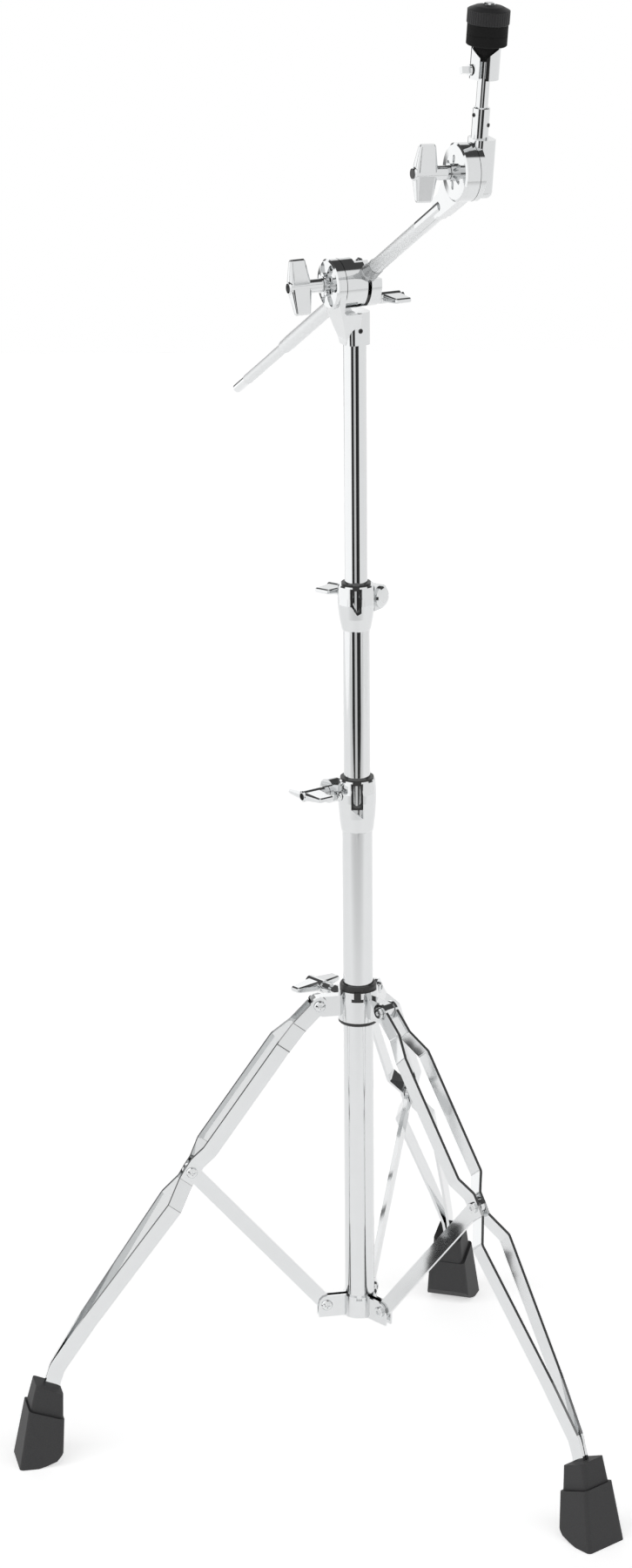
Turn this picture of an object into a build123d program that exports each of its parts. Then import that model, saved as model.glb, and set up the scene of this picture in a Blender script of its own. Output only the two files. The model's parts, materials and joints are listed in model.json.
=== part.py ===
from build123d import *
import math
import os

# Cymbal boom stand. Millimetres, +Z up. While it is modelled, the column's axis is
# x = y = 0 and the floor is z = 0. The last step moves everything so that the origin
# is the bottom centre of the overall box.

# ---------------------------------------------------------------- driving dimensions
# Column tubes: outer radius, wall, lowest and highest point
BASE_TUBE_R = 12.7
MIDDLE_TUBE_R = 11.1
UPPER_TUBE_R = 9.55
TUBE_WALL = 1.2
BASE_TUBE_Z = (110.0, 575.0)
MIDDLE_TUBE_Z = (430.0, 741.0)
UPPER_TUBE_Z = (610.0, 989.0)
GUIDE_RING = 10.0
GUIDE_PLUG = 12.0
RUN_GAP = 0.05
SEAT_GAP = 0.02
MOVE_GAP = 0.3

# Height clamps: lowest and highest point, widest and top radius, bush radius
LOWER_CLAMP_Z = (554.0, 599.5)
LOWER_CLAMP_R = (13.7, 16.1, 15.0)
LOWER_BUSH_R = 14.0
LOWER_BOLT_REACH = 17.6
LOWER_BOLT_Z = 586.5
LOWER_BOLT_TURN = 126.0
UPPER_CLAMP_Z = (729.0, 768.0)
UPPER_CLAMP_R = (12.15, 15.5, 14.75)
UPPER_BUSH_R = 12.2
UPPER_BOLT_REACH = 16.8
UPPER_BOLT_Z = 754.6
UPPER_BOLT_TURN = 55.0
CLAMP_EAR_R = 10.4
LOWER_EAR_NUT_SIDE = 18.4
UPPER_EAR_NUT_SIDE = 14.1
CLAMP_EAR_HEAD_SIDE = 13.2
CLAMP_BOLT_R = 3.0
CLAMP_BOLT_HEAD_R = 9.0
CLAMP_TAB = 3.0
CLAMP_SPLIT = 2.4

# Tripod: leg azimuths, and the pivots as (radius, height)
LEG_TURNS = {"left": 192.2, "back": 72.2, "right": -47.8}
HUB_PIVOT = (35.0, 400.0)
KNEE_PIVOT = (147.0, 257.0)
COLLAR_PIVOT = (30.0, 121.0)
PIVOT_R = 3.0
HINGE_GAP = 0.06
OPEN_PIVOT_GAP = 0.7
HUB_Z = (384.8, 412.0)
HUB_R = 17.0
HUB_BUSH_R = 14.6
HUB_BORE_GAP = 0.4
HUB_RING_LOW = 381.6
HUB_RING_HIGH = 417.0
HUB_BOLT_TURN = 132.0
COLLAR_Z = (110.0, 129.3)
COLLAR_PLATE = 2.0
COLLAR_REACH = 37.0
COLLAR_CORNER = 7.5

# Leg bars: strip section and its sideways distance from the leg's middle plane
BAR_WIDTH = 13.2
BAR_THICK = 2.6
BAR_END_R = 7.6
BAR_AT_HUB = 5.9
BAR_UPPER_SPREAD = 13.0
BAR_AT_KNEE = 3.5
BAR_LOWER_SPREAD = 15.6
BAR_AT_FOOT = 1.7
BRACE_THICK = 3.6
LUG_THICK = 8.6

# Foot: (radius, height) of its profile corners, and half widths
FOOT_SOLE = [(265.8, 12.0), (272.0, 5.2), (280.5, 2.0), (288.0, 0.0), (304.5, 0.0)]
FOOT_STEP_OUT = (294.4, 52.6)
FOOT_STEP_IN = (263.8, 42.0)
FOOT_TOP_OUT = (287.0, 74.0)
FOOT_TOP_IN = (263.6, 64.0)
FOOT_HALF_BOTTOM = 20.8
FOOT_HALF_STEP = 16.0
FOOT_HALF_TOP = 12.4
FOOT_LEDGE = 1.5

# Boom tilter
HEAD_Z = 1020.6
HEAD_TURN = 25.1
DRUM_R = 20.6
YOKE_BLOCK_Z = (970.0, 997.0)
YOKE_BLOCK_HALF = (10.8, 11.2)
YOKE_BLOCK_CORNER = 6.5
YOKE_SCREW_Z = 982.0
EAR_X = (-21.2, -15.9)
DRUM_X = (-15.4, 2.7)
JAW_X = (6.0, 15.0)
JAW_SCREW_DROP = 15.5
TOP_SCREW_X = (-0.3, 7.9)
RATCHET_CAP = 4.0
TILT_WASHER = 3.9
BOOM_PLANE = 4.3
BOOM_RISE = 29.6
BOOM_ROLL = 3.2
SLEEVE_R = 7.3
SLEEVE_Y = (-37.5, 26.0)

# Boom: + is to the rear
BOOM_TUBE_R = 6.0
BOOM_TUBE_Y = (-132.5, 159.0)
BOOM_STEP_Y = 174.0
BOOM_ROD_R = 4.5
BOOM_REAR_TIP = 287.0
BOOM_TIP_LENGTH = 27.0
NECK_R = 6.5
NECK_CAST_Y = -171.0

# Cymbal tilter
HINGE = (4.15, -221.8, 12.2)
TILT_PLATE = 9.4
TILT_R = 22.6
ROD_LEAN = 33.2
ROD_OFFSET = 7.0
TILT_BODY_X = (0.4, 18.0)
TILT_BODY_HALF = 10.8
TILT_BODY_Z = (-19.6, 26.0)
POST_R = 6.65
POST_TOP = 49.9
ROD_R = 4.75
ROD_TOP = 129.7
CUP_Z = (71.9, 96.6)
CUP_R = 11.4
CUP_NOTCH_Z = 86.8
CUP_SLOT = 5.0
CUP_TURN = -33.0
CUP_SCREW_Z = 78.5
FELT_Z = (97.5, 105.3, 113.5)
FELT_R = 15.7
CAP_Z = (113.8, 125.0)
CAP_R = 16.4
CAP_FLUTES = 48


# ---------------------------------------------------------------- helpers
def turned(points):
    """Solid of revolution about Z from (radius, height) points."""
    return revolve(make_face(Plane.XZ * Polyline(*points, close=True)), Axis.Z)


def disc(radius, low, high):
    """Solid cylinder along Z between two heights."""
    return Pos(0, 0, (low + high) / 2) * Cylinder(radius, high - low)


def pipe(radius, bore, low, high):
    """Tube along Z between two heights."""
    return disc(radius, low, high) - disc(bore, low - 1, high + 1)


def block(low, high):
    """Box between two corners."""
    centre = [(a + b) / 2 for a, b in zip(low, high)]
    return Pos(*centre) * Box(*[b - a for a, b in zip(low, high)])


def slab(points, low, high):
    """Polygon in XY extruded between two heights."""
    return Pos(0, 0, low) * extrude(make_face(Polyline(*points, close=True)), high - low)


def side_slab(points, low, high):
    """Polygon of (x, z) points extruded along Y between two stations."""
    return Rot(90, 0, 0) * slab(points, -high, -low)


def end_slab(points, low, high):
    """Polygon of (y, z) points extruded along X between two stations."""
    return Rot(0, 0, 90) * Rot(90, 0, 0) * slab(points, low, high)


def along_x(shape):
    """Turns a shape made along Z so that it points along X."""
    return Rot(0, 90, 0) * shape


def along_minus_x(shape):
    """Turns a shape made along Z so that it points along -X."""
    return Rot(0, -90, 0) * shape


def along_y(shape):
    """Turns a shape made along Z so that it points along Y."""
    return Rot(-90, 0, 0) * shape


def ribbon(points, width, radius):
    """Flat strip of constant width along a path with rounded bends."""
    steps = [Vector(*b) - Vector(*a) for a, b in zip(points, points[1:])]
    steps = [step.normalized() for step in steps]
    outline = {1: [], -1: []}
    radii = {1: [], -1: []}
    for i, point in enumerate(points):
        before = steps[max(0, i - 1)]
        after = steps[min(i, len(steps) - 1)]
        bisector = (before + after).normalized()
        normal = Vector(-bisector.Y, bisector.X)
        reach = width / 2 / bisector.dot(before)
        turning = before.X * after.Y - before.Y * after.X
        for side in (1, -1):
            corner = Vector(*point) + normal * (reach * side)
            outline[side].append((corner.X, corner.Y))
            if 0 < i < len(points) - 1:
                radii[side].append(radius if turning * side > 0 else radius + width)
    left = FilletPolyline(*outline[1], radius=radii[1])
    right = FilletPolyline(*outline[-1], radius=radii[-1])
    ends = [Line(left @ 0, right @ 0), Line(left @ 1, right @ 1)]
    return make_face(left.edges() + right.edges() + [end.edge() for end in ends])


def thick(face, half):
    """Face in XY thickened by half on both sides."""
    return extrude(face, half, both=True)


def radial(turn):
    """Leg plane of an azimuth: X outward, Y up, Z clockwise seen from above."""
    return Rot(0, 0, turn) * Rot(90, 0, 0)


def screw_head(radius, height):
    """Domed head with a cross recess, standing on z = 0."""
    head = turned(
        [
            (0, 0),
            (radius, 0),
            (radius, 0.25 * height),
            (0.82 * radius, 0.66 * height),
            (0.45 * radius, 0.94 * height),
            (0, height),
        ]
    )
    arm = 0.48 * radius
    bar = block((-arm, -0.5, 0.45 * height), (arm, 0.5, height + 1))
    return head - bar - Rot(0, 0, 90) * bar


def pivot_bolt(half_grip):
    """Bolt along Z: its head lies below the grip and its nut above it."""
    shank = disc(PIVOT_R, -half_grip - 0.01, half_grip + 2.6)
    bolt = shank + Pos(0, 0, -half_grip) * Rot(180, 0, 0) * screw_head(4.9, 2.8)
    bolt -= disc(1.9, half_grip + 1.4, half_grip + 4)
    nut = turned([(PIVOT_R + SEAT_GAP, 0), (4.8, 0), (4.8, 1.5), (4.0, 2.4), (PIVOT_R + SEAT_GAP, 2.4)])
    return [bolt, Pos(0, 0, half_grip) * nut]


def wing_nut(bore, sleeve_r, sleeve, hub_r, hub, span, chords, thicks, sweep=0.0):
    """Wing nut along +Z: a sleeve, then a hub with two blades along X."""
    top = sleeve + hub
    nut = disc(sleeve_r, 0, sleeve + 1)
    nut += turned([(0, sleeve), (hub_r, sleeve), (hub_r, top - 1), (hub_r - 1, top), (0, top)])
    middle = sleeve + hub / 2
    for side in (-1, 1):
        sections = []
        for reach, chord, width, shift in (
            (hub_r * 0.3, chords[0], thicks[0], 0.0),
            (span / 2 - 1.5, chords[1] + 0.8, thicks[1] + 0.3, sweep * 0.92),
            (span / 2, chords[1] - 1.2, thicks[1] - 1.4, sweep),
        ):
            plane = Plane((side * reach, 0, middle + shift), x_dir=(0, 1, 0), z_dir=(side, 0, 0))
            sections.append(plane * RectangleRounded(width, chord, min(width, chord) * 0.35))
        nut += loft(sections, ruled=True)
    return nut - disc(bore, -1, top + 12)


def big_wing_nut():
    """Wing nut of the two tilters, along +Z from its seat."""
    return wing_nut(4.05, 5.6, 9.6, 5.6, 20.0, 45.0, (19.6, 12.8), (11.0, 5.2), -0.5)


def small_wing_nut(span=47.0, sweep=0.0):
    """Wing nut of the clamps, along +Z from its seat."""
    return wing_nut(3.05, 4.6, 7.0, 4.8, 18.6, span, (18.0, 13.5), (7.4, 3.8), sweep)


# ---------------------------------------------------------------- column
def make_base_tube():
    return pipe(BASE_TUBE_R, BASE_TUBE_R - TUBE_WALL, *BASE_TUBE_Z)


def height_clamp(span, radii, tube_r, tube_top, bush_r, ear, window):
    """Split clamp casting on the top of a tube, with two ears behind it."""
    low, high = span
    rise = high - low
    foot, belly, top = radii
    bolt_turn, reach, bolt_z, nut_side = ear
    shell = turned(
        [
            (0, low),
            (foot - 0.5, low),
            (foot, low + 0.6),
            (foot + 0.62 * (belly - foot), low + 0.28 * rise),
            (belly, low + 0.58 * rise),
            (belly, low + 0.74 * rise),
            (top + 0.4, high - 1.3),
            (top - 0.4, high),
            (0, high),
        ]
    )
    ear_span = (-CLAMP_EAR_HEAD_SIDE, nut_side)
    ears = Pos(reach, 0, bolt_z) * along_y(disc(CLAMP_EAR_R, *ear_span))
    ears += block(
        (tube_r - 3, ear_span[0], bolt_z - CLAMP_EAR_R),
        (reach, 0.5 * ear_span[1], bolt_z + CLAMP_EAR_R),
    )
    ears &= disc(60, low + 2, high - 0.6)
    split = block((tube_r - 4, -CLAMP_SPLIT / 2, low - 1), (reach + 20, CLAMP_SPLIT / 2, high + 1))
    hole = Pos(reach, 0, bolt_z) * along_y(disc(CLAMP_BOLT_R + RUN_GAP, -60, 60))
    clamp = shell + Rot(0, 0, bolt_turn) * ears
    spot_face = Pos(reach, 0, bolt_z) * along_y(disc(CLAMP_EAR_R + 0.2, -60, ear_span[0]))
    clamp -= Rot(0, 0, bolt_turn) * (split + hole + spot_face)
    clamp -= disc(tube_r + SEAT_GAP, low - 1, tube_top + SEAT_GAP)
    clamp -= disc(bush_r + SEAT_GAP, tube_top, high + 1)
    return clamp - side_slab(window, -belly - 4, 0)


def clamp_window(high, top_half, half, drop, point_x):
    """Front window of a clamp, open at the rim, with a pointed lower end."""
    return [
        (-top_half, high + 2),
        (top_half, high + 2),
        (top_half, high - 1),
        (half, high - 11),
        (half, high - drop),
        (point_x, high - drop - 2),
        (-half, high - drop + 6),
        (-half, high - 11),
        (-top_half, high - 1),
    ]


def bush_window(high, top_half, half, low):
    """Round-ended opening of a bush behind its clamp's window."""
    return [
        (-top_half, high - CLAMP_TAB),
        (top_half, high - CLAMP_TAB),
        (half, high - 11),
        (half, low + 3),
        (half - 1.2, low + 0.9),
        (half - 3.2, low),
        (3.2 - half, low),
        (1.2 - half, low + 0.9),
        (-half, low + 3),
        (-half, high - 11),
    ]


def clamp_bush(span, top_r, tube_top, bush_r, slide_r, top_half, window):
    """Black nylon bush inside a clamp: a tab of it bridges the window at the rim."""
    high = span[1]
    bush = pipe(bush_r, slide_r + RUN_GAP, tube_top + 2 * SEAT_GAP, high + 1.4)
    bush -= side_slab(window, -bush_r - 4, 0)
    half = top_half - SEAT_GAP
    tab = block((-half, -top_r, high - CLAMP_TAB), (half, 0, high + 1.4))
    return bush + (tab & pipe(top_r - 0.4, slide_r + RUN_GAP, high - CLAMP_TAB, high + 1.4))


def clamp_bolt(turn, reach, bolt_z, nut_side):
    """Round-headed bolt through a clamp's ears; the wing nut's thread is at its +Y end."""
    rim = CLAMP_BOLT_HEAD_R
    head = turned([(0, 0), (rim, 0), (rim, 1.6), (rim - 1.4, 2.9), (5, 3.5), (0, 3.7)])
    shank = disc(CLAMP_BOLT_R, -CLAMP_EAR_HEAD_SIDE - 0.5, nut_side + 24.5)
    bolt = along_y(shank + Pos(0, 0, -CLAMP_EAR_HEAD_SIDE - SEAT_GAP) * Rot(180, 0, 0) * head)
    return Rot(0, 0, turn) * Pos(reach, 0, bolt_z) * bolt


def clamp_wing_nut(turn, reach, bolt_z, nut_side, pose):
    """Wing nut of a height clamp; at pose 0 its blades are level."""
    nut = Pos(0, nut_side + MOVE_GAP, 0) * along_y(Rot(0, 0, pose) * small_wing_nut())
    return Rot(0, 0, turn) * Pos(reach, 0, bolt_z) * nut


def stop_place():
    """Seat of the stop screw on the lower clamp, with Z pointing outward."""
    return Rot(0, 0, -62) * Pos(0, -LOWER_CLAMP_R[1] - SEAT_GAP, LOWER_BOLT_Z - 1) * Rot(90, 0, 0)


def stop_screw():
    """Small round-headed screw beside the lower clamp's ear."""
    return stop_place() * (screw_head(3.8, 2.6) + disc(1.8, -1.9, 0.2))


def tube_guide(tube_r, tube_low, host_bore):
    """Nylon guide under a sliding tube: a ring in the host tube and a plug in the tube."""
    ring = disc(host_bore - RUN_GAP, tube_low - MOVE_GAP - GUIDE_RING, tube_low - MOVE_GAP)
    plug = disc(tube_r - TUBE_WALL - RUN_GAP, tube_low - MOVE_GAP - 1, tube_low + GUIDE_PLUG)
    core = disc(5.0, tube_low - 20, tube_low + GUIDE_PLUG + 1)
    return ring + plug - core


# ---------------------------------------------------------------- tripod
def leg_line():
    """Length and slope of the leg from the hub pivot to the knee."""
    run = KNEE_PIVOT[0] - HUB_PIVOT[0]
    drop = HUB_PIVOT[1] - KNEE_PIVOT[1]
    return math.hypot(run, drop), math.degrees(math.atan2(-drop, run))


def leg_frame():
    """Frame with X along the leg from the hub pivot, inside the leg plane."""
    return Pos(*HUB_PIVOT, 0) * Rot(0, 0, leg_line()[1])


def bar_side_path():
    """Centre line of a leg bar seen from the side, along and above the leg."""
    return [
        (0, 0),
        (24.8, 3.0),
        (46, 6.0),
        (157, 2.0),
        (181.6, 0),
        (191, -1.2),
        (213, -3.0),
        (340, -7.6),
        (391, -11.5),
        (407.5, -17.7),
        (436, -30.0),
    ]


def bar_spread_path():
    """Centre line of a leg bar seen from above, along and beside the leg."""
    return [
        (-12, BAR_AT_HUB),
        (24.8, BAR_AT_HUB),
        (46, BAR_UPPER_SPREAD),
        (156, BAR_UPPER_SPREAD),
        (172, BAR_AT_KNEE),
        (192, BAR_AT_KNEE),
        (214, BAR_LOWER_SPREAD),
        (398, BAR_AT_FOOT),
        (446, BAR_AT_FOOT),
    ]


def leg_bars(turn):
    """The two mirrored bent strips of one leg."""
    length = leg_line()[0]
    side = ribbon(bar_side_path(), BAR_WIDTH, 12.0)
    side = thick(side, 20) + disc(BAR_END_R, -20, 20)
    spread = Rot(90, 0, 0) * thick(ribbon(bar_spread_path(), BAR_THICK, 4.0), 70)
    bar = side & spread
    bar -= disc(PIVOT_R + HINGE_GAP, -30, 30)
    bar -= Pos(length, 0, 0) * disc(PIVOT_R + SEAT_GAP, -30, 30)
    bars = [bar, mirror(bar, Plane.XY)]
    return [radial(turn) * leg_frame() * part for part in bars]


def knee_bolt(turn):
    """Bolt through both leg bars and the brace."""
    parts = pivot_bolt(BAR_AT_KNEE + BAR_THICK / 2)
    return [radial(turn) * Pos(*KNEE_PIVOT, 0) * part for part in parts]


def foot(turn):
    """Rubber foot: two tapering tiers on a rocker sole, slotted for the bars."""
    outer = FOOT_SOLE + [FOOT_STEP_OUT, FOOT_STEP_IN]
    lower = thick(make_face(Polyline(*outer, close=True)), 30)
    lean = (FOOT_STEP_OUT[1] - FOOT_STEP_IN[1]) / (FOOT_STEP_OUT[0] - FOOT_STEP_IN[0])
    tier = [
        (FOOT_STEP_IN[0] + 0.6, FOOT_STEP_IN[1] - 0.5),
        (FOOT_STEP_OUT[0] - FOOT_LEDGE, FOOT_STEP_OUT[1] - 0.5 - lean * FOOT_LEDGE),
        FOOT_TOP_OUT,
        FOOT_TOP_IN,
    ]
    upper = thick(make_face(Polyline(*tier, close=True)), 30)
    lower &= foot_taper(0, FOOT_HALF_BOTTOM, 54, FOOT_HALF_STEP)
    upper &= foot_taper(38, FOOT_HALF_STEP - FOOT_LEDGE, 75, FOOT_HALF_TOP)
    shape = lower + upper
    uprights = shape.edges().filter_by(lambda e: e.length > 16 and abs(e.tangent_at(0.5).Y) > 0.8)
    shape = fillet(uprights, 3.5)
    slot = BAR_AT_FOOT + BAR_THICK / 2 + SEAT_GAP
    pocket = thick(ribbon(bar_side_path()[-4:], BAR_WIDTH + 2 * SEAT_GAP, 12.0), slot)
    shape -= leg_frame() * pocket
    return radial(turn) * shape


def foot_taper(low, half_low, high, half_high):
    """Trapezoid limits across the foot, as a solid along its radial direction."""
    points = [(-half_low, low), (half_low, low), (half_high, high), (-half_high, high)]
    return Rot(0, 90, 0) * slab(points, 200, 400)


def brace(turn, knee_gap):
    """Flat bar from the knee to the collar."""
    run = COLLAR_PIVOT[0] - KNEE_PIVOT[0]
    rise = COLLAR_PIVOT[1] - KNEE_PIVOT[1]
    length = math.hypot(run, rise)
    bar = block((0, -6.5, -BRACE_THICK / 2), (length, 6.5, BRACE_THICK / 2))
    bar += disc(7.4, -BRACE_THICK / 2, BRACE_THICK / 2)
    bar += Pos(length, 0, 0) * disc(7.0, -BRACE_THICK / 2, BRACE_THICK / 2)
    bar -= disc(PIVOT_R + knee_gap, -5, 5)
    bar -= Pos(length, 0, 0) * disc(PIVOT_R + HINGE_GAP, -5, 5)
    return radial(turn) * Pos(*KNEE_PIVOT, 0) * Rot(0, 0, math.degrees(math.atan2(rise, run))) * bar


def collar_plate(turn):
    """Bent plate round the tube from this leg's plane to the next one."""
    inner = BRACE_THICK / 2 + MOVE_GAP
    low, high = COLLAR_Z
    ring = pipe(BASE_TUBE_R + COLLAR_PLATE + 0.1, BASE_TUBE_R + SEAT_GAP, low, high)
    ring -= block((0, -30, low - 1), (30, inner, high + 1))
    ring -= Rot(0, 0, 120) * block((0, -inner, low - 1), (30, 30, high + 1))
    ring &= slab([(0, 0), (60, 0), (60, 60), (-30, 80)], low, high)
    flag = [(13.4, low), (COLLAR_REACH, low)]
    for angle in (0, 30, 60, 90):
        across = COLLAR_CORNER * (1 - math.cos(math.radians(angle)))
        down = COLLAR_CORNER * (1 - math.sin(math.radians(angle)))
        flag.append((COLLAR_REACH - across, high - down))
    flag.append((13.4, high))
    near = Pos(0, inner + COLLAR_PLATE, 0) * Rot(90, 0, 0) * slab(flag, 0, COLLAR_PLATE)
    far = Rot(0, 0, 120) * Pos(0, -inner, 0) * Rot(90, 0, 0) * slab(flag, 0, COLLAR_PLATE)
    plate = ring + near + far
    hole = Rot(90, 0, 0) * Pos(*COLLAR_PIVOT, 0) * disc(PIVOT_R + SEAT_GAP, -30, 30)
    plate -= hole + Rot(0, 0, 120) * hole
    plate -= Rot(0, 0, 76) * block((10, -2.4, high - 3.0), (20, 2.4, high + 1))
    return Rot(0, 0, turn) * plate


def collar_bolt(turn):
    """Bolt through two collar plates and the brace between them."""
    parts = pivot_bolt(BRACE_THICK / 2 + MOVE_GAP + COLLAR_PLATE)
    return [radial(turn) * Pos(*COLLAR_PIVOT, 0) * part for part in parts]


def hub_tab(grow):
    """T-shaped tab of the upper hub ring, and with grow its notch in the hub."""
    stem = block((-2.9 - grow, -HUB_R - grow, 404 - grow), (2.9 + grow, -13.6, HUB_Z[1] + 0.5 + grow))
    foot_bar = block((-5 - grow, -HUB_R - grow, 404 - grow), (5 + grow, -13.6, 406.6 + grow))
    return Rot(0, 0, -2) * (stem + foot_bar)


def make_hub():
    """Hub ring with three leg lugs and a boss for the wing bolt."""
    low, high = HUB_Z
    hub = disc(HUB_R, low, high)
    r, z = HUB_PIVOT
    outline = [
        (12, z - 11),
        (r - 3, z - 11),
        (r + 4.2, z - 6),
        (r + 6.5, z - 1),
        (r + 6.0, z + 3.6),
        (r + 2.6, z + 7),
        (12, z + 7),
    ]
    lug = thick(make_face(Polyline(*outline, close=True)), LUG_THICK / 2)
    lug -= Pos(*HUB_PIVOT, 0) * disc(PIVOT_R + SEAT_GAP, -10, 10)
    for turn in LEG_TURNS.values():
        hub += radial(turn) * lug
    boss = along_x(disc(6.5, 12, 28))
    bolt_hole = along_x(disc(PIVOT_R + RUN_GAP, 10, 40))
    place = Rot(0, 0, HUB_BOLT_TURN) * Pos(0, 0, HUB_PIVOT[1])
    hub = hub + place * boss - place * bolt_hole
    return hub - disc(HUB_BUSH_R + SEAT_GAP, low - 1, high + 1) - hub_tab(0.1)


def make_hub_bush():
    """Nylon bush in the hub, with a ring above it and a ring below it."""
    low, high = HUB_Z
    bore = BASE_TUBE_R + HUB_BORE_GAP
    bush = pipe(HUB_BUSH_R, bore, HUB_RING_LOW, HUB_RING_HIGH)
    seat = high + SEAT_GAP
    rim = HUB_RING_HIGH
    upper = turned([(bore, seat), (15.6, seat), (15.6, rim - 1.6), (14.8, rim), (bore, rim)])
    seat = low - SEAT_GAP
    rim = HUB_RING_LOW
    lower = turned([(bore, rim), (16, rim), (17, rim + 1), (17, seat), (bore, seat)])
    tab = hub_tab(0) & pipe(HUB_R - 0.1, bore, low, high + 1)
    return bush + upper + lower + tab


def hub_wing_bolt():
    """Wing bolt that fixes the hub's height on the tube."""
    bolt = disc(PIVOT_R, HUB_BUSH_R + MOVE_GAP, 44)
    bolt += Pos(0, 0, 34) * wing_nut(0.5, 4.6, 9.0, 5.6, 20.0, 48.0, (17.0, 9.5), (9.0, 4.6), 2.0)
    return Rot(0, 0, HUB_BOLT_TURN) * Pos(0, 0, HUB_PIVOT[1]) * along_x(Rot(0, 0, 90) * bolt)


# ---------------------------------------------------------------- boom tilter
HEAD = Pos(0, 0, HEAD_Z) * Rot(0, 0, HEAD_TURN)
BOOM = HEAD * Pos(BOOM_PLANE, 0, 0) * Rot(-BOOM_RISE, 0, 0)
ROLLED = BOOM * Rot(0, BOOM_ROLL, 0)
TILTER = ROLLED * Pos(*HINGE)
UPRIGHT = TILTER * Rot(ROD_LEAN, 0, 0)
ROD = UPRIGHT * Pos(ROD_OFFSET, 0, 0)


def make_yoke():
    """Yoke: block on the tube, and one ear rising beside the drum."""
    low, high = [z - HEAD_Z for z in YOKE_BLOCK_Z]
    half_x, half_y = YOKE_BLOCK_HALF
    profile = [
        (EAR_X[0], 25),
        (EAR_X[1], 25),
        (EAR_X[1], high + 2),
        (EAR_X[1] + 2, high),
        (0, high),
        (0, low),
        (-half_x, low),
        (-half_x - 0.8, low + 6),
        (EAR_X[0], -14),
    ]
    front = [
        (-6, low),
        (6, low),
        (half_y, low + 14),
        (19.4, -7),
        (-19.4, -7),
        (-half_y, low + 14),
    ]
    outline = end_slab(front, -40, 40) + along_x(disc(DRUM_R, -40, EAR_X[1] + 1))
    ear = side_slab(profile, -30, 30) & outline
    body = block((-half_x, -half_y, low), (half_x, half_y, high))
    yoke = ear + fillet(body.edges().filter_by(Axis.Z), YOKE_BLOCK_CORNER)
    yoke -= disc(UPPER_TUBE_R + SEAT_GAP, low - 1, UPPER_TUBE_Z[1] - HEAD_Z + SEAT_GAP)
    yoke -= along_x(disc(4.3, -30, 0))
    yoke -= Pos(0, 0, YOKE_SCREW_Z - HEAD_Z) * along_y(disc(2.05, -20, -5))
    return HEAD * yoke


def yoke_set_screw():
    screw = disc(2.0, -YOKE_BLOCK_HALF[1] + 0.3, -UPPER_TUBE_R - SEAT_GAP)
    socket = disc(1.1, -YOKE_BLOCK_HALF[1] - 1, -YOKE_BLOCK_HALF[1] + 1.1)
    return HEAD * Pos(0, 0, YOKE_SCREW_Z - HEAD_Z) * along_y(screw - socket)


def pocket_cap(radius, thickness, pockets, pocket_size, centre_r):
    """Round cap along +Z with a ring of oval pockets in its domed outer face."""
    cap = turned(
        [
            (4.3, 0),
            (radius, 0),
            (radius, thickness * 0.45),
            (radius - 1.6, thickness * 0.75),
            (radius * 0.62, thickness * 0.95),
            (centre_r, thickness),
            (4.3, thickness),
        ]
    )
    length, width, depth, reach = pocket_size
    pocket = extrude(SlotOverall(length, width), depth + 1)
    for i in range(pockets):
        cap -= Rot(0, 0, (i + 0.5) * 360 / pockets) * Pos(reach, 0, thickness - depth) * pocket
    return cap


def make_ratchet_cap():
    cap = pocket_cap(DRUM_R, RATCHET_CAP, 6, (11.0, 7.4, 2.6, 13.4), 7.0)
    return HEAD * Pos(EAR_X[0] - SEAT_GAP, 0, 0) * along_minus_x(cap)


def make_tilt_washer():
    washer = pipe(7.0, 4.3, 0, TILT_WASHER)
    for i in range(8):
        washer += Rot(0, 0, i * 45) * Pos(7.2, 0, 0.6) * disc(2.6, 0, TILT_WASHER - 1.2)
    place = HEAD * Pos(EAR_X[0] - RATCHET_CAP - 2 * SEAT_GAP, 0, 0)
    return place * along_minus_x(washer - disc(4.3, -1, 5))


def channel(radius):
    """Round channel through the boom clamp along the boom."""
    return Pos(BOOM_PLANE, 0, 0) * Rot(-BOOM_RISE, 0, 0) * along_y(disc(radius, -60, 60))


def make_clamp_body():
    """Drum of the boom clamp, with a top lug over the boom."""
    drum = along_x(disc(DRUM_R, *DRUM_X))
    flat = Rot(-BOOM_RISE, 0, 0) * block((-4.7, -40, 10.5), (10, 40, 40))
    drum -= along_x(disc(DRUM_R + 1, -4.7, 10)) & flat
    lug = block((-5, -7, 6), (12.4, 7, 15))
    drum += Rot(-BOOM_RISE, 0, 0) * lug
    drum -= channel(SLEEVE_R + RUN_GAP)
    drum -= along_x(disc(4.05, -20, -7.9))
    drum -= along_x(hex_bar(13.1, -8, -3.4))
    drum -= Pos(0, 0, -JAW_SCREW_DROP) * along_x(disc(3.02, -9, 10))
    for x in TOP_SCREW_X:
        drum -= Rot(-BOOM_RISE, 0, 0) * Pos(x, 0, 0) * disc(1.52, 8, 20)
    return HEAD * drum


def hex_bar(flats, low, high):
    """Hexagonal bar along Z, given the distance across its flats."""
    return Pos(0, 0, low) * extrude(RegularPolygon(flats / 2, 6, major_radius=False), high - low)


def make_tilt_bolt():
    bolt = disc(4.0, -57.5, -7.9) + hex_bar(13.0, -7.96, -3.9)
    return HEAD * along_x(bolt)


def make_tilt_wing_nut():
    seat = EAR_X[0] - RATCHET_CAP - TILT_WASHER - MOVE_GAP
    return HEAD * Pos(seat, 0, 0) * Rot(-14.3, 0, 0) * along_minus_x(big_wing_nut())


def make_top_screws():
    screw = Pos(0, 0, 15 + SEAT_GAP) * (screw_head(3.8, 4.6) + disc(1.5, -4.5, 0.2))
    return [HEAD * Rot(-BOOM_RISE, 0, 0) * Pos(x, 0, 0) * screw for x in TOP_SCREW_X]


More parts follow.
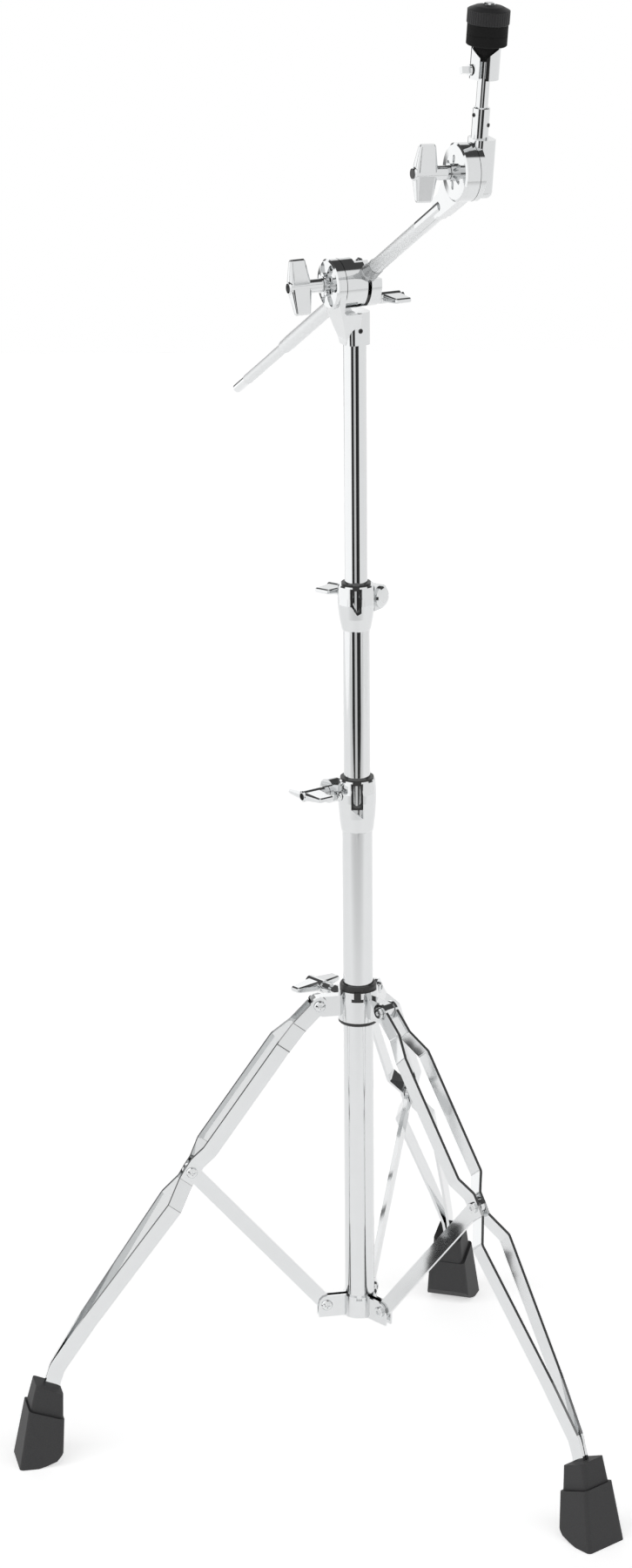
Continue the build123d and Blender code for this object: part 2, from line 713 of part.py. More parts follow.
def make_jaw():
    """Right half of the boom clamp, below the boom."""
    jaw = along_x(disc(DRUM_R, *JAW_X)) & block((0, -30, -30), (30, 30, 5.0))
    jaw -= Rot(-BOOM_RISE, 0, 0) * block((-1, -40, 5.4), (30, 40, 40))
    jaw -= channel(SLEEVE_R + RUN_GAP)
    jaw -= Pos(0, 0, -JAW_SCREW_DROP) * along_x(disc(3.4, 0, 30))
    return HEAD * jaw


def make_jaw_pad():
    """Rubber pad on the jaw's inner face."""
    pad = along_x(disc(DRUM_R - 0.6, DRUM_X[1] + MOVE_GAP, JAW_X[0] - SEAT_GAP))
    pad &= block((0, -30, -30), (30, 30, -7.8))
    pad -= channel(SLEEVE_R + 0.4)
    pad -= Pos(0, 0, -JAW_SCREW_DROP) * along_x(disc(3.6, 0, 30))
    return HEAD * pad


def make_jaw_screw():
    return HEAD * Pos(0, 0, -JAW_SCREW_DROP) * along_x(disc(3.0, -8, JAW_X[1] + 28.5))


def make_jaw_wing_nut():
    nut = small_wing_nut(39.0, 3.6)
    return HEAD * Pos(JAW_X[1] + MOVE_GAP, 0, -JAW_SCREW_DROP) * along_x(Rot(0, 0, 90) * nut)


# ---------------------------------------------------------------- boom
def make_boom_sleeve():
    """Smooth sleeve that grips the boom inside the clamp, with a window near its front."""
    front, rear = SLEEVE_Y
    sleeve = turned(
        [
            (BOOM_TUBE_R + RUN_GAP, front),
            (6.5, front),
            (6.9, front + 12.5),
            (SLEEVE_R, front + 13.5),
            (SLEEVE_R, rear),
            (BOOM_TUBE_R + RUN_GAP, rear),
        ]
    )
    sleeve = along_y(sleeve)
    return BOOM * (sleeve - block((-5.5, front + 2.5, 1.6), (3.6, front + 12, 9)))


def make_boom_tube():
    front, rear = BOOM_TUBE_Y
    return ROLLED * along_y(pipe(BOOM_TUBE_R, BOOM_ROD_R + SEAT_GAP, front, rear))


def make_rear_rod():
    """Thin rear rod with a shoulder against the tube and a plain tip."""
    rod = disc(BOOM_ROD_R, 100, BOOM_REAR_TIP - BOOM_TIP_LENGTH)
    shoulder = [
        (0, BOOM_TUBE_Y[1] + SEAT_GAP),
        (5.7, BOOM_TUBE_Y[1] + SEAT_GAP),
        (5.7, BOOM_STEP_Y - 4),
        (BOOM_ROD_R, BOOM_STEP_Y),
        (0, BOOM_STEP_Y),
    ]
    tip = [
        (0, BOOM_REAR_TIP - BOOM_TIP_LENGTH - 1),
        (4.2, BOOM_REAR_TIP - BOOM_TIP_LENGTH - 1),
        (4.2, BOOM_REAR_TIP - 1.2),
        (3.2, BOOM_REAR_TIP),
        (0, BOOM_REAR_TIP),
    ]
    return ROLLED * along_y(rod + turned(shoulder) + turned(tip))


def make_neck():
    """Cast neck on the boom's front end, with the hinge plate of the cymbal tilter."""
    x, y, z = HINGE
    root = BOOM_TUBE_Y[0] - SEAT_GAP
    neck = along_y(disc(NECK_R, NECK_CAST_Y - 8, root) + disc(BOOM_ROD_R, root - 1, root + 30))
    side = [
        (NECK_CAST_Y + 3, -NECK_R),
        (NECK_CAST_Y + 3, NECK_R + 2.6),
        (NECK_CAST_Y - 9, NECK_R + 3.2),
        (y + 20, z + 8.5),
        (y, z + 12),
        (y - 2, z - 20.5),
        (y + 24, -NECK_R - 1.6),
        (NECK_CAST_Y - 6, -NECK_R - 1.2),
        (NECK_CAST_Y - 3, -NECK_R),
    ]
    arm = end_slab(side, x - TILT_PLATE, x)
    neck += arm + Pos(x, y, z) * along_x(disc(TILT_R, -TILT_PLATE, 0))
    neck -= Pos(x, y, z) * along_x(disc(4.0 + HINGE_GAP, -30, 10))
    return ROLLED * neck


# ---------------------------------------------------------------- cymbal tilter
def make_tilter_cap():
    cap = pocket_cap(TILT_R, 3.7, 6, (7.0, 4.0, 1.8, 10.0), 6.8)
    cap += pipe(6.85, 4.3, 3.6, 7.4)
    return TILTER * Pos(-TILT_PLATE - SEAT_GAP, 0, 0) * along_minus_x(cap)


def make_tilter_body():
    """L-shaped body: a hinge disc and a block that rises to the post."""
    low, high = TILT_BODY_Z
    half = TILT_BODY_HALF
    x0, x1 = TILT_BODY_X
    base = along_x(disc(TILT_R, x0, x0 + 4.5))
    tower = block((x0, -half, low), (x1, half, high))
    tower = fillet(tower.edges().filter_by(Axis.Z), 5.5)
    corner = tower.edges().filter_by(Axis.Y).sort_by(lambda e: e.center().Z - e.center().X)[0]
    tower = fillet(corner, 5.0)
    body = base + tower
    body -= along_x(disc(4.05, -1, 12.3)) + along_x(hex_bar(13.1, 12.2, 20))
    body -= Pos(ROD_OFFSET, 0, 0) * disc(5.22, 16.9, high + 1)
    return UPRIGHT * body


def make_tilter_bolt():
    bolt = disc(4.0, -47.5, 12.3) + hex_bar(13.0, 12.25, 16.6)
    return UPRIGHT * along_x(bolt)


def make_tilter_wing_nut():
    seat = -TILT_PLATE - 7.4 - MOVE_GAP
    return UPRIGHT * Pos(seat, 0, 0) * along_minus_x(big_wing_nut())


def make_post():
    high = TILT_BODY_Z[1]
    seat = high + SEAT_GAP
    rim = POST_R - 0.6
    post = turned([(0, seat), (POST_R, seat), (POST_R, POST_TOP - 0.6), (rim, POST_TOP), (0, POST_TOP)])
    post += disc(5.2, 17, high + 1)
    post -= disc(ROD_R + SEAT_GAP, high + 2, POST_TOP + 1)
    for turn, z in post_screw_places():
        post -= Rot(0, 0, turn) * Pos(0, 0, z) * along_x(disc(1.62, 3, 9))
    return ROD * post


def post_screw_places():
    """Azimuth and height of the two set screws in the post."""
    return ((188.0, POST_TOP - 5.9), (-50.0, POST_TOP - 13.1))


def make_post_screws():
    screw = along_x(disc(1.6, ROD_R + SEAT_GAP, POST_R + 0.5) - disc(0.9, POST_R - 0.4, POST_R + 1))
    return [ROD * Rot(0, 0, turn) * Pos(0, 0, z) * screw for turn, z in post_screw_places()]


def make_cymbal_rod():
    low = TILT_BODY_Z[1] + 2.1
    rod = turned([(0, low), (ROD_R, low), (ROD_R, ROD_TOP - 1), (ROD_R - 1, ROD_TOP), (0, ROD_TOP)])
    return ROD * (rod - block((-6, -0.8, ROD_TOP - 2), (6, 0.8, ROD_TOP + 1)))


def make_cup():
    """Cup clamped on the rod: hollow top, pointed notch and split at the front."""
    low, high = CUP_Z
    cup = disc(CUP_R, low, high) - disc(ROD_R + SEAT_GAP, low - 1, high + 1)
    cup -= disc(10.1, CUP_NOTCH_Z - 1.4, high + 1)
    wide = CUP_R + 0.1
    notch = [(-wide, high), (0, CUP_NOTCH_Z), (wide, high), (wide, high + 2), (-wide, high + 2)]
    cup -= Rot(0, 0, CUP_TURN) * side_slab(notch, -20, 20)
    slot = block((-CUP_SLOT / 2, -20, low - 1), (CUP_SLOT / 2, -ROD_R + 1, high + 1))
    cup -= Rot(0, 0, CUP_TURN) * slot
    cup -= Pos(0, 0, CUP_SCREW_Z) * along_x(disc(2.02, -20, 0))
    return ROD * cup


def make_cup_screw():
    """Square-headed key screw in the cup's side."""
    stem = disc(2.0, ROD_R + SEAT_GAP, 18)
    collar = disc(4.4, CUP_R + 0.5, CUP_R + 2.1)
    head = Pos(0, 0, CUP_R + 2.0) * extrude(Rectangle(5.2, 5.2), 6.4)
    return ROD * Pos(0, 0, CUP_SCREW_Z) * along_minus_x(Rot(0, 0, 20) * (stem + collar + head))


def make_cymbal_sleeve():
    return ROD * pipe(6.1, ROD_R + SEAT_GAP, CUP_NOTCH_Z - 1.3, FELT_Z[2] - 0.5)


def make_lower_felt():
    """Lower felt with a ball that sits in the cup."""
    points = [(6.14, CUP_NOTCH_Z - 0.4)]
    centre = FELT_Z[0] - 0.8
    for step in range(7):
        angle = math.radians(-50 + step * 8.5)
        points.append((9.9 * math.cos(angle), centre + 11.4 * math.sin(angle)))
    points += [(9.9, FELT_Z[0]), (FELT_R - 0.8, FELT_Z[0]), (FELT_R, FELT_Z[0] + 0.8)]
    points += [(FELT_R, FELT_Z[1]), (6.14, FELT_Z[1])]
    return ROD * turned(points)


def make_upper_felt():
    return ROD * pipe(FELT_R, 6.18, FELT_Z[1] + MOVE_GAP, FELT_Z[2])


def make_cap():
    """Knurled cap with a domed top."""
    low, high = CAP_Z
    outline = [
        (ROD_R + 0.07, low),
        (CAP_R - 0.7, low),
        (CAP_R, low + 0.7),
        (CAP_R, high - 0.6),
        (CAP_R - 0.8, high),
        (CAP_R * 0.66, high + 2.2),
        (CAP_R * 0.34, high + 3.4),
        (ROD_R + 0.07, high + 3.6),
    ]
    cap = turned(outline)
    flute = Pos(CAP_R + 0.25, 0, low - 1) * extrude(Circle(0.62), high - low + 0.2)
    flutes = [Rot(0, 0, i * 360 / CAP_FLUTES) * flute for i in range(CAP_FLUTES)]
    return ROD * (cap - flutes)


# ---------------------------------------------------------------- assembly
def make_nodes():
    """Every node of the stand, by name."""
    lower_ear = (LOWER_BOLT_TURN, LOWER_BOLT_REACH, LOWER_BOLT_Z, LOWER_EAR_NUT_SIDE)
    upper_ear = (UPPER_BOLT_TURN, UPPER_BOLT_REACH, UPPER_BOLT_Z, UPPER_EAR_NUT_SIDE)
    lower_window = clamp_window(LOWER_CLAMP_Z[1], 3.6, 5.0, 30.0, 4.9)
    upper_window = clamp_window(UPPER_CLAMP_Z[1], 2.9, 4.45, 22.0, 1.0)
    lower_opening = bush_window(LOWER_CLAMP_Z[1], 3.4, 4.6, 577.0)
    upper_opening = bush_window(UPPER_CLAMP_Z[1], 2.7, 4.1, 746.0)
    lower_tube = (BASE_TUBE_Z[1], LOWER_BUSH_R)
    upper_tube = (MIDDLE_TUBE_Z[1], UPPER_BUSH_R)
    nodes = {
        "base_tube": make_base_tube(),
        "lower_clamp": height_clamp(
            LOWER_CLAMP_Z, LOWER_CLAMP_R, BASE_TUBE_R, *lower_tube, lower_ear, lower_window
        )
        - stop_place() * disc(1.82, -2.4, 3),
        "lower_clamp_bush": clamp_bush(
            LOWER_CLAMP_Z, LOWER_CLAMP_R[2], *lower_tube, MIDDLE_TUBE_R, 3.6, lower_opening
        ),
        "lower_clamp_bolt": [clamp_bolt(*lower_ear), stop_screw()],
        "lower_clamp_wing_nut": clamp_wing_nut(*lower_ear, 4),
        "brace_collar": [collar_plate(turn) for turn in LEG_TURNS.values()],
        "collar_bolts": [part for turn in LEG_TURNS.values() for part in collar_bolt(turn)],
        "leg_hub": make_hub(),
        "hub_bush": make_hub_bush(),
        "hub_pivot_bolts": hub_bolts(),
        "hub_wing_bolt": hub_wing_bolt(),
        "middle_tube_guide": tube_guide(MIDDLE_TUBE_R, MIDDLE_TUBE_Z[0], BASE_TUBE_R - TUBE_WALL),
        "middle_tube": pipe(MIDDLE_TUBE_R, MIDDLE_TUBE_R - TUBE_WALL, *MIDDLE_TUBE_Z),
        "upper_clamp": height_clamp(
            UPPER_CLAMP_Z, UPPER_CLAMP_R, MIDDLE_TUBE_R, *upper_tube, upper_ear, upper_window
        ),
        "upper_clamp_bush": clamp_bush(
            UPPER_CLAMP_Z, UPPER_CLAMP_R[2], *upper_tube, UPPER_TUBE_R, 2.9, upper_opening
        ),
        "upper_clamp_bolt": clamp_bolt(*upper_ear),
        "upper_clamp_wing_nut": clamp_wing_nut(*upper_ear, 8),
        "upper_tube_guide": tube_guide(UPPER_TUBE_R, UPPER_TUBE_Z[0], MIDDLE_TUBE_R - TUBE_WALL),
        "upper_tube": pipe(UPPER_TUBE_R, UPPER_TUBE_R - TUBE_WALL, *UPPER_TUBE_Z),
        "tilter_yoke": make_yoke(),
        "yoke_set_screw": yoke_set_screw(),
        "ratchet_cap": make_ratchet_cap(),
        "tilt_washer": make_tilt_washer(),
        "clamp_body": make_clamp_body(),
        "tilt_bolt": make_tilt_bolt(),
        "tilt_wing_nut": make_tilt_wing_nut(),
        "clamp_top_screws": make_top_screws(),
        "clamp_jaw": make_jaw(),
        "jaw_pad": make_jaw_pad(),
        "jaw_screw": make_jaw_screw(),
        "jaw_wing_nut": make_jaw_wing_nut(),
        "boom_sleeve": make_boom_sleeve(),
        "boom_tube": make_boom_tube(),
        "boom_rear_rod": make_rear_rod(),
        "tilter_neck": make_neck(),
        "tilter_cap": make_tilter_cap(),
        "tilter_body": make_tilter_body(),
        "tilter_bolt": make_tilter_bolt(),
        "tilter_wing_nut": make_tilter_wing_nut(),
        "tilter_post": make_post(),
        "post_set_screws": make_post_screws(),
        "cymbal_rod": make_cymbal_rod(),
        "cymbal_cup": make_cup(),
        "cup_key_screw": make_cup_screw(),
        "cymbal_sleeve": make_cymbal_sleeve(),
        "lower_felt": make_lower_felt(),
        "upper_felt": make_upper_felt(),
        "cymbal_cap": make_cap(),
    }
    for side, turn in LEG_TURNS.items():
        nodes[f"{side}_leg_bars"] = leg_bars(turn)
        nodes[f"{side}_knee_bolt"] = knee_bolt(turn)
        nodes[f"{side}_foot"] = foot(turn)
        nodes[f"brace_{side}"] = brace(turn, HINGE_GAP if side == "left" else OPEN_PIVOT_GAP)
    return nodes


def hub_bolts():
    """Leg pivot bolts held in the hub's lugs."""
    half_grip = BAR_AT_HUB + BAR_THICK / 2 + MOVE_GAP
    bolts = []
    for turn in LEG_TURNS.values():
        bolts += [radial(turn) * Pos(*HUB_PIVOT, 0) * part for part in pivot_bolt(half_grip)]
    return bolts


def solids_of(shape):
    """Flat list of the solids in a node."""
    parts = shape if isinstance(shape, list) else [shape]
    return [solid for part in parts for solid in part.solids()]


NODES = {name: solids_of(shape) for name, shape in make_nodes().items()}
BOXES = [solid.bounding_box() for solids in NODES.values() for solid in solids]
LOW = [min(getattr(box.min, axis) for box in BOXES) for axis in "XYZ"]
HIGH = [max(getattr(box.max, axis) for box in BOXES) for axis in "XYZ"]
SHIFT = Vector(-(LOW[0] + HIGH[0]) / 2, -(LOW[1] + HIGH[1]) / 2, -LOW[2])

if __name__ == "__main__":
    os.makedirs("parts", exist_ok=True)
    for name, solids in NODES.items():
        moved = [Pos(SHIFT) * solid for solid in solids]
        export_step(moved[0] if len(moved) == 1 else Compound(children=moved), f"parts/{name}.step")
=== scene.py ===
import json
import math

import bpy
from mathutils import Matrix, Vector


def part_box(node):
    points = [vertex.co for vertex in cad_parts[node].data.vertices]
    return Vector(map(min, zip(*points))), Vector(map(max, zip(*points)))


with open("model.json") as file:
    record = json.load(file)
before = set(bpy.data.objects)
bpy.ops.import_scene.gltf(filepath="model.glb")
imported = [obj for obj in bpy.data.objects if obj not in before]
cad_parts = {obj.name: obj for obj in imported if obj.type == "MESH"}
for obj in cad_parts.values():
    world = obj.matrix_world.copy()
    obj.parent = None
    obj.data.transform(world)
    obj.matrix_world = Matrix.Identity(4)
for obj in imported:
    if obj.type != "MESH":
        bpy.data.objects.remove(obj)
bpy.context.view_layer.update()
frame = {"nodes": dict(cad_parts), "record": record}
NODES = frame["nodes"]


# ---------------------------------------------------------------- camera
# The camera looks slightly down at the stand from in front of the column's axis.
axis_low, axis_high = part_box("base_tube")
AXIS = Vector(((axis_low.x + axis_high.x) / 2, (axis_low.y + axis_high.y) / 2, 0))
CAMERA_PLACE = AXIS + Vector((0, -3.5826, 1.7842))
PITCH, YAW, ROLL = (math.radians(a) for a in (18.38, -0.55, -0.47))
LENS = 103.618
FILM_HEIGHT = 36.0


def make_camera():
    """Camera at the photograph's viewing angle."""
    ahead = Vector((math.sin(YAW) * math.cos(PITCH), math.cos(YAW) * math.cos(PITCH), -math.sin(PITCH)))
    level = Vector((math.cos(YAW), -math.sin(YAW), 0))
    upward = level.cross(ahead)
    right = level * math.cos(ROLL) + upward * math.sin(ROLL)
    up = upward * math.cos(ROLL) - level * math.sin(ROLL)
    data = bpy.data.cameras.new("camera")
    data.sensor_fit = "VERTICAL"
    data.sensor_height = FILM_HEIGHT
    data.lens = LENS
    camera = bpy.data.objects.new("camera", data)
    bpy.context.scene.collection.objects.link(camera)
    turn = Matrix((right, up, -ahead)).transposed().to_4x4()
    camera.matrix_world = Matrix.Translation(CAMERA_PLACE) @ turn
    bpy.context.scene.camera = camera


make_camera()


# ---------------------------------------------------------------- node helpers
class Tree:
    """Short way to build a shader node tree."""

    def __init__(self, tree):
        self.tree = tree
        tree.nodes.clear()

    def add(self, kind, inputs=None, **settings):
        node = self.tree.nodes.new(kind)
        for key, value in settings.items():
            setattr(node, key, value)
        for key, value in (inputs or {}).items():
            if isinstance(value, bpy.types.NodeSocket):
                self.tree.links.new(value, node.inputs[key])
            else:
                node.inputs[key].default_value = value
        return node

    def math(self, operation, a, b=0.0, c=0.0):
        node = self.add("ShaderNodeMath", operation=operation)
        for i, value in enumerate((a, b, c)):
            if isinstance(value, bpy.types.NodeSocket):
                self.tree.links.new(value, node.inputs[i])
            else:
                node.inputs[i].default_value = value
        return node.outputs[0]

    def ramp(self, factor, stops):
        """Blend between two (position, colour) stops."""
        node = self.add("ShaderNodeValToRGB", {"Fac": factor})
        for element, (position, colour) in zip(node.color_ramp.elements, stops):
            element.position = position
            element.color = (*colour, 1)
        return node.outputs["Color"]

    def mix(self, factor, first, second):
        """Blend two colours, each a socket or an RGBA tuple."""
        node = self.add("ShaderNodeMix", data_type="RGBA")
        self.tree.links.new(factor, node.inputs[0])
        for slot, colour in ((6, first), (7, second)):
            if isinstance(colour, bpy.types.NodeSocket):
                self.tree.links.new(colour, node.inputs[slot])
            else:
                node.inputs[slot].default_value = colour
        return node.outputs[2]

    def close(self, shader, kind="ShaderNodeOutputMaterial"):
        """Wire the finished shader to the tree's output."""
        self.tree.links.new(shader.outputs[0], self.add(kind).inputs[0])


def grey(value):
    return (value, value, value, 1)


# ---------------------------------------------------------------- studio
# Dark flags: azimuth from the camera side (low, high), elevation (low, high), softness, darkness.
FLAGS = (
    (-38, -14, -26, 2, 1.5, 0.97),
    (5, 32, -26, 2, 1.5, 0.97),
    (-14, 5, -26, 2, 2.0, 0.3),
    (30, 38, -20, -3, 2.0, 0.9),
    (-162, -140, -22, 12, 3.0, 0.9),
)
# Dark band overhead: angle up from the camera side (low, high), softness.
OVERHEAD = (80, 146, 4.0)
OVERHEAD_DARK = 0.93
# Azimuths between which the left side's extra brightness falls off, and that brightness.
BRIGHT_SIDE = (-50.0, -38.0, 1.3)
# Floor in metres from the column's axis; the start, end and dimmest level of the painted shade that dims
# the floor's colour and glow toward its front edge.
FLOOR_HALF = 2.1
FLOOR_FRONT = -1.62
FLOOR_SHADE_FADE = (-1.6, -0.7, 0.7)
FLOOR_TONE = 0.9
FLOOR_MOTTLE = 0.03
FLOOR_GLOW = 0.52


def degrees(t, radians):
    return t.math("MULTIPLY", radians, 180 / math.pi)


def band(t, value, low, high, soft):
    """1 where value lies between low and high, with soft edges."""
    start = {0: value, 1: low - soft, 2: low + soft}
    end = {0: value, 1: high - soft, 2: high + soft, 3: 1.0, 4: 0.0}
    rise = t.add("ShaderNodeMapRange", start, interpolation_type="SMOOTHSTEP")
    fall = t.add("ShaderNodeMapRange", end, interpolation_type="SMOOTHSTEP")
    return t.math("MULTIPLY", rise.outputs[0], fall.outputs[0])


def make_world():
    """White studio with a few dark flags, which chrome needs to show its form."""
    world = bpy.data.worlds.new("studio")
    bpy.context.scene.world = world
    world.use_nodes = True
    t = Tree(world.node_tree)
    place = t.add("ShaderNodeTexCoord").outputs["Generated"]
    xyz = t.add("ShaderNodeSeparateXYZ", {0: place}).outputs
    toward = t.math("MULTIPLY", xyz[1], -1.0)
    turn = degrees(t, t.math("ARCTAN2", xyz[0], toward))
    rise = degrees(t, t.math("ARCSINE", xyz[2]))
    over = band(t, degrees(t, t.math("ARCTAN2", xyz[2], toward)), *OVERHEAD)
    light = t.math("SUBTRACT", 1.0, t.math("MULTIPLY", over, OVERHEAD_DARK))
    start, end, gain = BRIGHT_SIDE
    side = t.add("ShaderNodeMapRange", {0: turn, 1: start, 2: end, 3: gain, 4: 1.0}).outputs[0]
    light = t.math("MULTIPLY", light, side)
    for low, high, bottom, top, soft, darkness in FLAGS:
        mask = t.math("MULTIPLY", band(t, turn, low, high, soft), band(t, rise, bottom, top, soft))
        kept = t.math("SUBTRACT", 1.0, t.math("MULTIPLY", mask, darkness))
        light = t.math("MULTIPLY", light, kept)
    studio = t.add("ShaderNodeCombineColor", {0: light, 1: light, 2: light}).outputs[0]
    # The camera itself sees plain white; only reflections see the flags.
    shown = t.add("ShaderNodeLightPath").outputs["Is Camera Ray"]
    colour = t.mix(shown, studio, grey(1.0))
    t.close(t.add("ShaderNodeBackground", {"Color": colour, "Strength": 1.0}), "ShaderNodeOutputWorld")


def make_floor():
    """Pale floor under the stand, with painted shade fading its colour and glow toward its front edge.
    """
    mesh = bpy.data.meshes.new("floor")
    half, back = FLOOR_HALF, FLOOR_HALF * 2
    corners = [(-half, FLOOR_FRONT), (half, FLOOR_FRONT), (half, back), (-half, back)]
    mesh.from_pydata([(AXIS.x + x, AXIS.y + y, 0) for x, y in corners], [], [(0, 1, 2, 3)])
    floor = bpy.data.objects.new("floor", mesh)
    bpy.context.scene.collection.objects.link(floor)
    material = bpy.data.materials.new("floor")
    material.use_nodes = True
    t = Tree(material.node_tree)
    place = t.add("ShaderNodeNewGeometry").outputs["Position"]
    ahead = t.add("ShaderNodeSeparateXYZ", {0: place}).outputs[1]
    start, end, dimmest = FLOOR_SHADE_FADE
    near = {0: ahead, 1: AXIS.y + start, 2: AXIS.y + end, 3: dimmest, 4: 1.0}
    # Painted shade: the floor's colour and glow dim toward its front edge, which chrome shows as darker
    # reflections.
    shade_fade = t.add("ShaderNodeMapRange", near, interpolation_type="SMOOTHSTEP").outputs[0]
    mottle = t.add("ShaderNodeTexNoise", {"Vector": place, "Scale": 3.0, "Detail": 2.0}).outputs["Fac"]
    tone = t.math("MULTIPLY", shade_fade, t.math("MULTIPLY_ADD", mottle, FLOOR_MOTTLE, FLOOR_TONE))
    shader = t.add("ShaderNodeBsdfPrincipled", {"Base Color": tone, "Roughness": 0.9})
    strength = t.math("MULTIPLY", shade_fade, FLOOR_GLOW)
    glow = t.add("ShaderNodeEmission", {"Color": grey(1.0), "Strength": strength})
    t.close(t.add("ShaderNodeAddShader", {0: shader.outputs[0], 1: glow.outputs[0]}))
    mesh.materials.append(material)


make_world()
make_floor()
bpy.context.scene.view_settings.view_transform = "Standard"


# ---------------------------------------------------------------- materials
# How far up a bolt the painted shade on its end face reaches, in metres; it stands in for the shade of a
# deeper hollow in the wing nut's hub.
END_SHADE_DEPTH = 0.0006
CHROME = (0.71, 0.72, 0.725)
KNURL_TINT = (0.76, 0.77, 0.775)
# Ridges round the boom, ridges along it per metre, and where its plain tip starts.
KNURL_ROUND = 19.0
KNURL_ALONG = 3200.0
BOOM_TIP = 0.260
SHARP_EDGE = math.radians(30)


def metal(name, tint, roughness, wear=0.03, bump=0.0, scale=60.0, end=None):
    """Bright metal with faint smudges and small changes of gloss, and painted shade on a bolt's end face
    standing in for a deeper hollow.
    """
    material = bpy.data.materials.new(name)
    material.use_nodes = True
    t = Tree(material.node_tree)
    place = t.add("ShaderNodeTexCoord").outputs["Object"]
    spots = {"Vector": place, "Scale": scale, "Detail": 4.0, "Roughness": 0.6}
    smudge = t.add("ShaderNodeTexNoise", spots).outputs["Fac"]
    dulled = {0: smudge, 1: 0.3, 2: 0.75, 3: roughness, 4: roughness + wear}
    gloss = t.add("ShaderNodeMapRange", dulled).outputs[0]
    colour = t.ramp(smudge, [(0.2, tuple(c * 0.97 for c in tint)), (0.8, tint)])
    if end:
        face, along = end
        reach = t.add("ShaderNodeVectorMath", {0: place, 1: face}, operation="SUBTRACT").outputs[0]
        run = t.add("ShaderNodeVectorMath", {0: reach, 1: along}, operation="DOT_PRODUCT")
        # Painted shade: the bolt's end face turns near black, standing in for the shade of a deeper
        # hollow in the wing nut's hub.
        end_shade = t.math("GREATER_THAN", run.outputs["Value"], -END_SHADE_DEPTH)
        colour = t.mix(end_shade, colour, grey(0.02))
    surface = {"Base Color": colour, "Metallic": 1.0, "Roughness": gloss}
    shader = t.add("ShaderNodeBsdfPrincipled", surface)
    if bump:
        grain = {"Vector": place, "Scale": scale * 14, "Detail": 2.0}
        fine = t.add("ShaderNodeTexNoise", grain).outputs["Fac"]
        relief = t.add("ShaderNodeBump", {"Strength": bump, "Distance": 0.0002, "Height": fine})
        t.tree.links.new(relief.outputs[0], shader.inputs["Normal"])
    t.close(shader)
    return material


def dark(name, colour, roughness, scale, bump, sheen=0.0, specular=0.5):
    """Black plastic, rubber or felt with a fine grain."""
    material = bpy.data.materials.new(name)
    material.use_nodes = True
    t = Tree(material.node_tree)
    place = t.add("ShaderNodeTexCoord").outputs["Object"]
    pores = {"Vector": place, "Scale": scale, "Detail": 6.0, "Roughness": 0.65}
    grain = t.add("ShaderNodeTexNoise", pores).outputs["Fac"]
    deep, pale = tuple(c * 0.7 for c in colour), tuple(min(1, c * 1.35) for c in colour)
    shade = t.ramp(grain, [(0.25, deep), (0.75, pale)])
    shader = t.add("ShaderNodeBsdfPrincipled", {"Base Color": shade, "Roughness": roughness})
    shader.inputs["Sheen Weight"].default_value = sheen
    shader.inputs["Specular IOR Level"].default_value = specular
    relief = t.add("ShaderNodeBump", {"Strength": bump, "Distance": 0.0003, "Height": grain})
    t.tree.links.new(relief.outputs[0], shader.inputs["Normal"])
    t.close(shader)
    return material


def joint_line(node, joint_name):
    """A joint's point and axis in the node's own frame."""
    joint = next(j for j in frame["record"]["behaviour"]["joints"] if j["name"] == joint_name)
    local = node.matrix_world.inverted()
    return local @ Vector(joint["pos_m"]), (local.to_3x3() @ Vector(joint["axis"])).normalized()


def knurled(name, node, tint, tip):
    """Diamond-knurled chrome round the boom's axis, with painted shade in the knurl's grooves, plain
    behind the tip's start.
    """
    centre, along = joint_line(node, "boom_roll")
    side = along.cross(Vector((0, 0, 1))).normalized()
    up = side.cross(along)
    material = bpy.data.materials.new(name)
    material.use_nodes = True
    t = Tree(material.node_tree)
    place = t.add("ShaderNodeTexCoord").outputs["Object"]
    reach = t.add("ShaderNodeVectorMath", {0: place, 1: centre}, operation="SUBTRACT").outputs[0]

    def part(axis):
        dot = t.add("ShaderNodeVectorMath", {0: reach, 1: axis}, operation="DOT_PRODUCT")
        return dot.outputs["Value"]

    run = part(along)
    turn = t.math("MULTIPLY", t.math("ARCTAN2", part(side), part(up)), KNURL_ROUND)
    rise = t.math("MULTIPLY", run, KNURL_ALONG)
    right = t.math("ABSOLUTE", t.math("SINE", t.math("ADD", turn, rise)))
    left = t.math("ABSOLUTE", t.math("SINE", t.math("SUBTRACT", turn, rise)))
    height = t.math("MINIMUM", right, left)
    plain = t.math("LESS_THAN", run, -tip)
    rough = t.math("MULTIPLY_ADD", plain, -0.34, 0.42)
    smudge = t.add("ShaderNodeTexNoise", {"Vector": place, "Scale": 160.0, "Detail": 3.0}).outputs["Fac"]
    rough = t.math("MULTIPLY_ADD", smudge, 0.06, rough)
    # Painted shade: the knurl's grooves are tinted slightly darker, where their hollows would be in
    # shade.
    groove_shade = t.math("MAXIMUM", t.math("MULTIPLY_ADD", height, 0.08, 0.95), plain)
    colour = t.mix(groove_shade, grey(0.1), (*tint, 1))
    surface = {"Base Color": colour, "Metallic": 1.0, "Roughness": rough}
    shader = t.add("ShaderNodeBsdfPrincipled", surface)
    keep = t.math("MULTIPLY_ADD", plain, -0.1, 0.1)
    relief = t.add("ShaderNodeBump", {"Strength": keep, "Distance": 0.0002, "Height": height})
    t.tree.links.new(relief.outputs[0], shader.inputs["Normal"])
    t.close(shader)
    return material


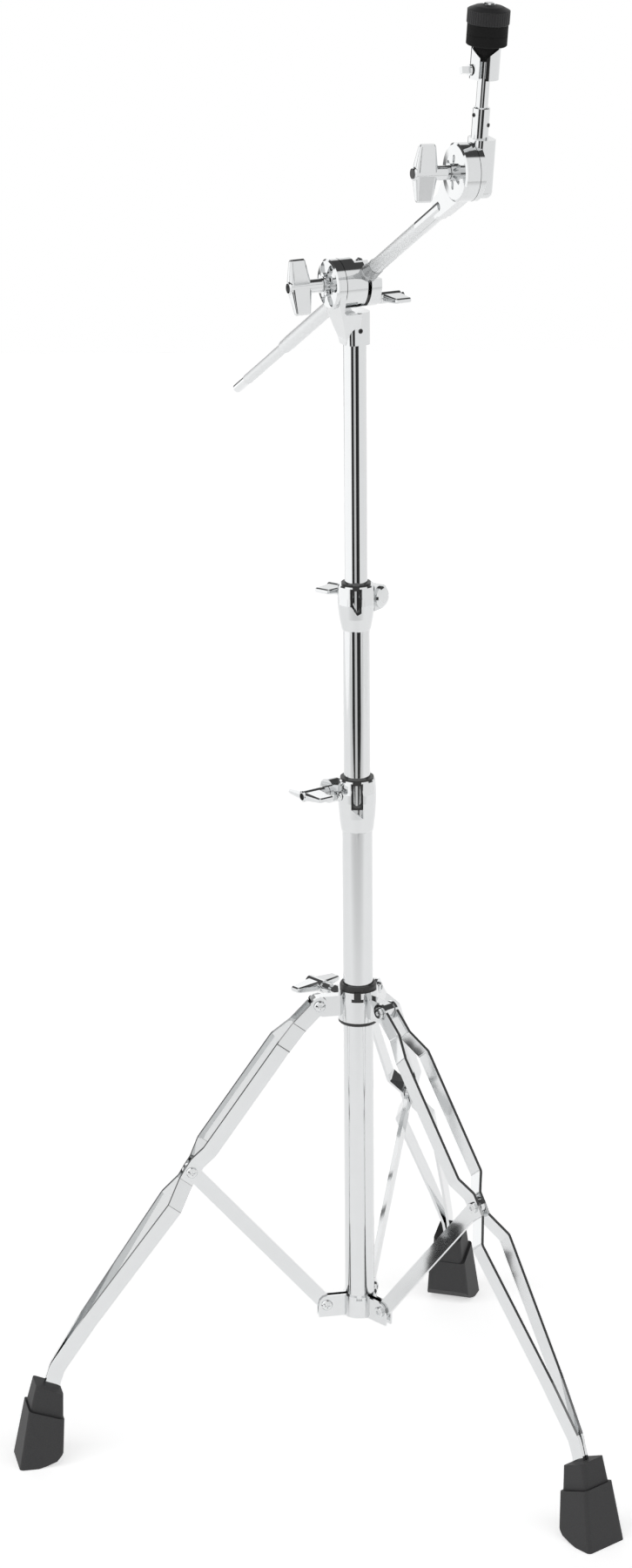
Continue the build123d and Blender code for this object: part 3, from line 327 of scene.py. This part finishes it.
def end_face(bolt, joint_name):
    """Point and direction, in the bolt's own frame, of its end inside the wing nut."""
    centre, along = joint_line(bolt, joint_name)
    reach = max((v.co - centre).dot(along) for v in bolt.data.vertices)
    return centre + along * reach, along


MATERIALS = {
    "chrome_steel": metal("chrome_steel", CHROME, 0.05, 0.03),
    "chrome_cast": metal("chrome_cast", CHROME, 0.06, 0.04, bump=0.02, scale=90.0),
    "satin_steel": metal("satin_steel", (0.5, 0.51, 0.515), 0.34, 0.08, bump=0.05, scale=150.0),
    "black_nylon": dark("black_nylon", (0.018, 0.018, 0.018), 0.42, 700.0, 0.1),
    "foot_rubber": dark("foot_rubber", (0.02, 0.02, 0.021), 0.62, 900.0, 0.2),
    "black_rubber": dark("black_rubber", (0.015, 0.015, 0.015), 0.6, 900.0, 0.2),
    "black_steel": dark("black_steel", (0.012, 0.012, 0.012), 0.3, 500.0, 0.05),
    "felt": dark("felt", (0.012, 0.012, 0.012), 0.95, 1800.0, 0.8, sheen=0.05, specular=0.1),
    "cap_plastic": dark("cap_plastic", (0.022, 0.022, 0.023), 0.5, 800.0, 0.15, specular=0.3),
}
SLOTS = {part["node"]: part["material_slot"] for part in frame["record"]["subparts"]}
# Bolts whose end face inside a wing nut gets painted shade, and the joint that nut turns on.
SHADED_END_BOLTS = {
    "lower_clamp_bolt": "lower_nut_spin",
    "upper_clamp_bolt": "upper_nut_spin",
    "tilt_bolt": "tilt_nut_spin",
    "jaw_screw": "jaw_nut_spin",
    "tilter_bolt": "tilter_nut_spin",
}
for name, node in NODES.items():
    if SLOTS[name] == "knurled_chrome":
        material = knurled(SLOTS[name], node, KNURL_TINT, BOOM_TIP)
    elif name in SHADED_END_BOLTS:
        material = metal(SLOTS[name], CHROME, 0.05, end=end_face(node, SHADED_END_BOLTS[name]))
    else:
        material = MATERIALS[SLOTS[name]]
    node.data.materials.clear()
    node.data.materials.append(material)
    for polygon in node.data.polygons:
        polygon.use_smooth = True
    node.data.set_sharp_from_angle(angle=SHARP_EDGE)
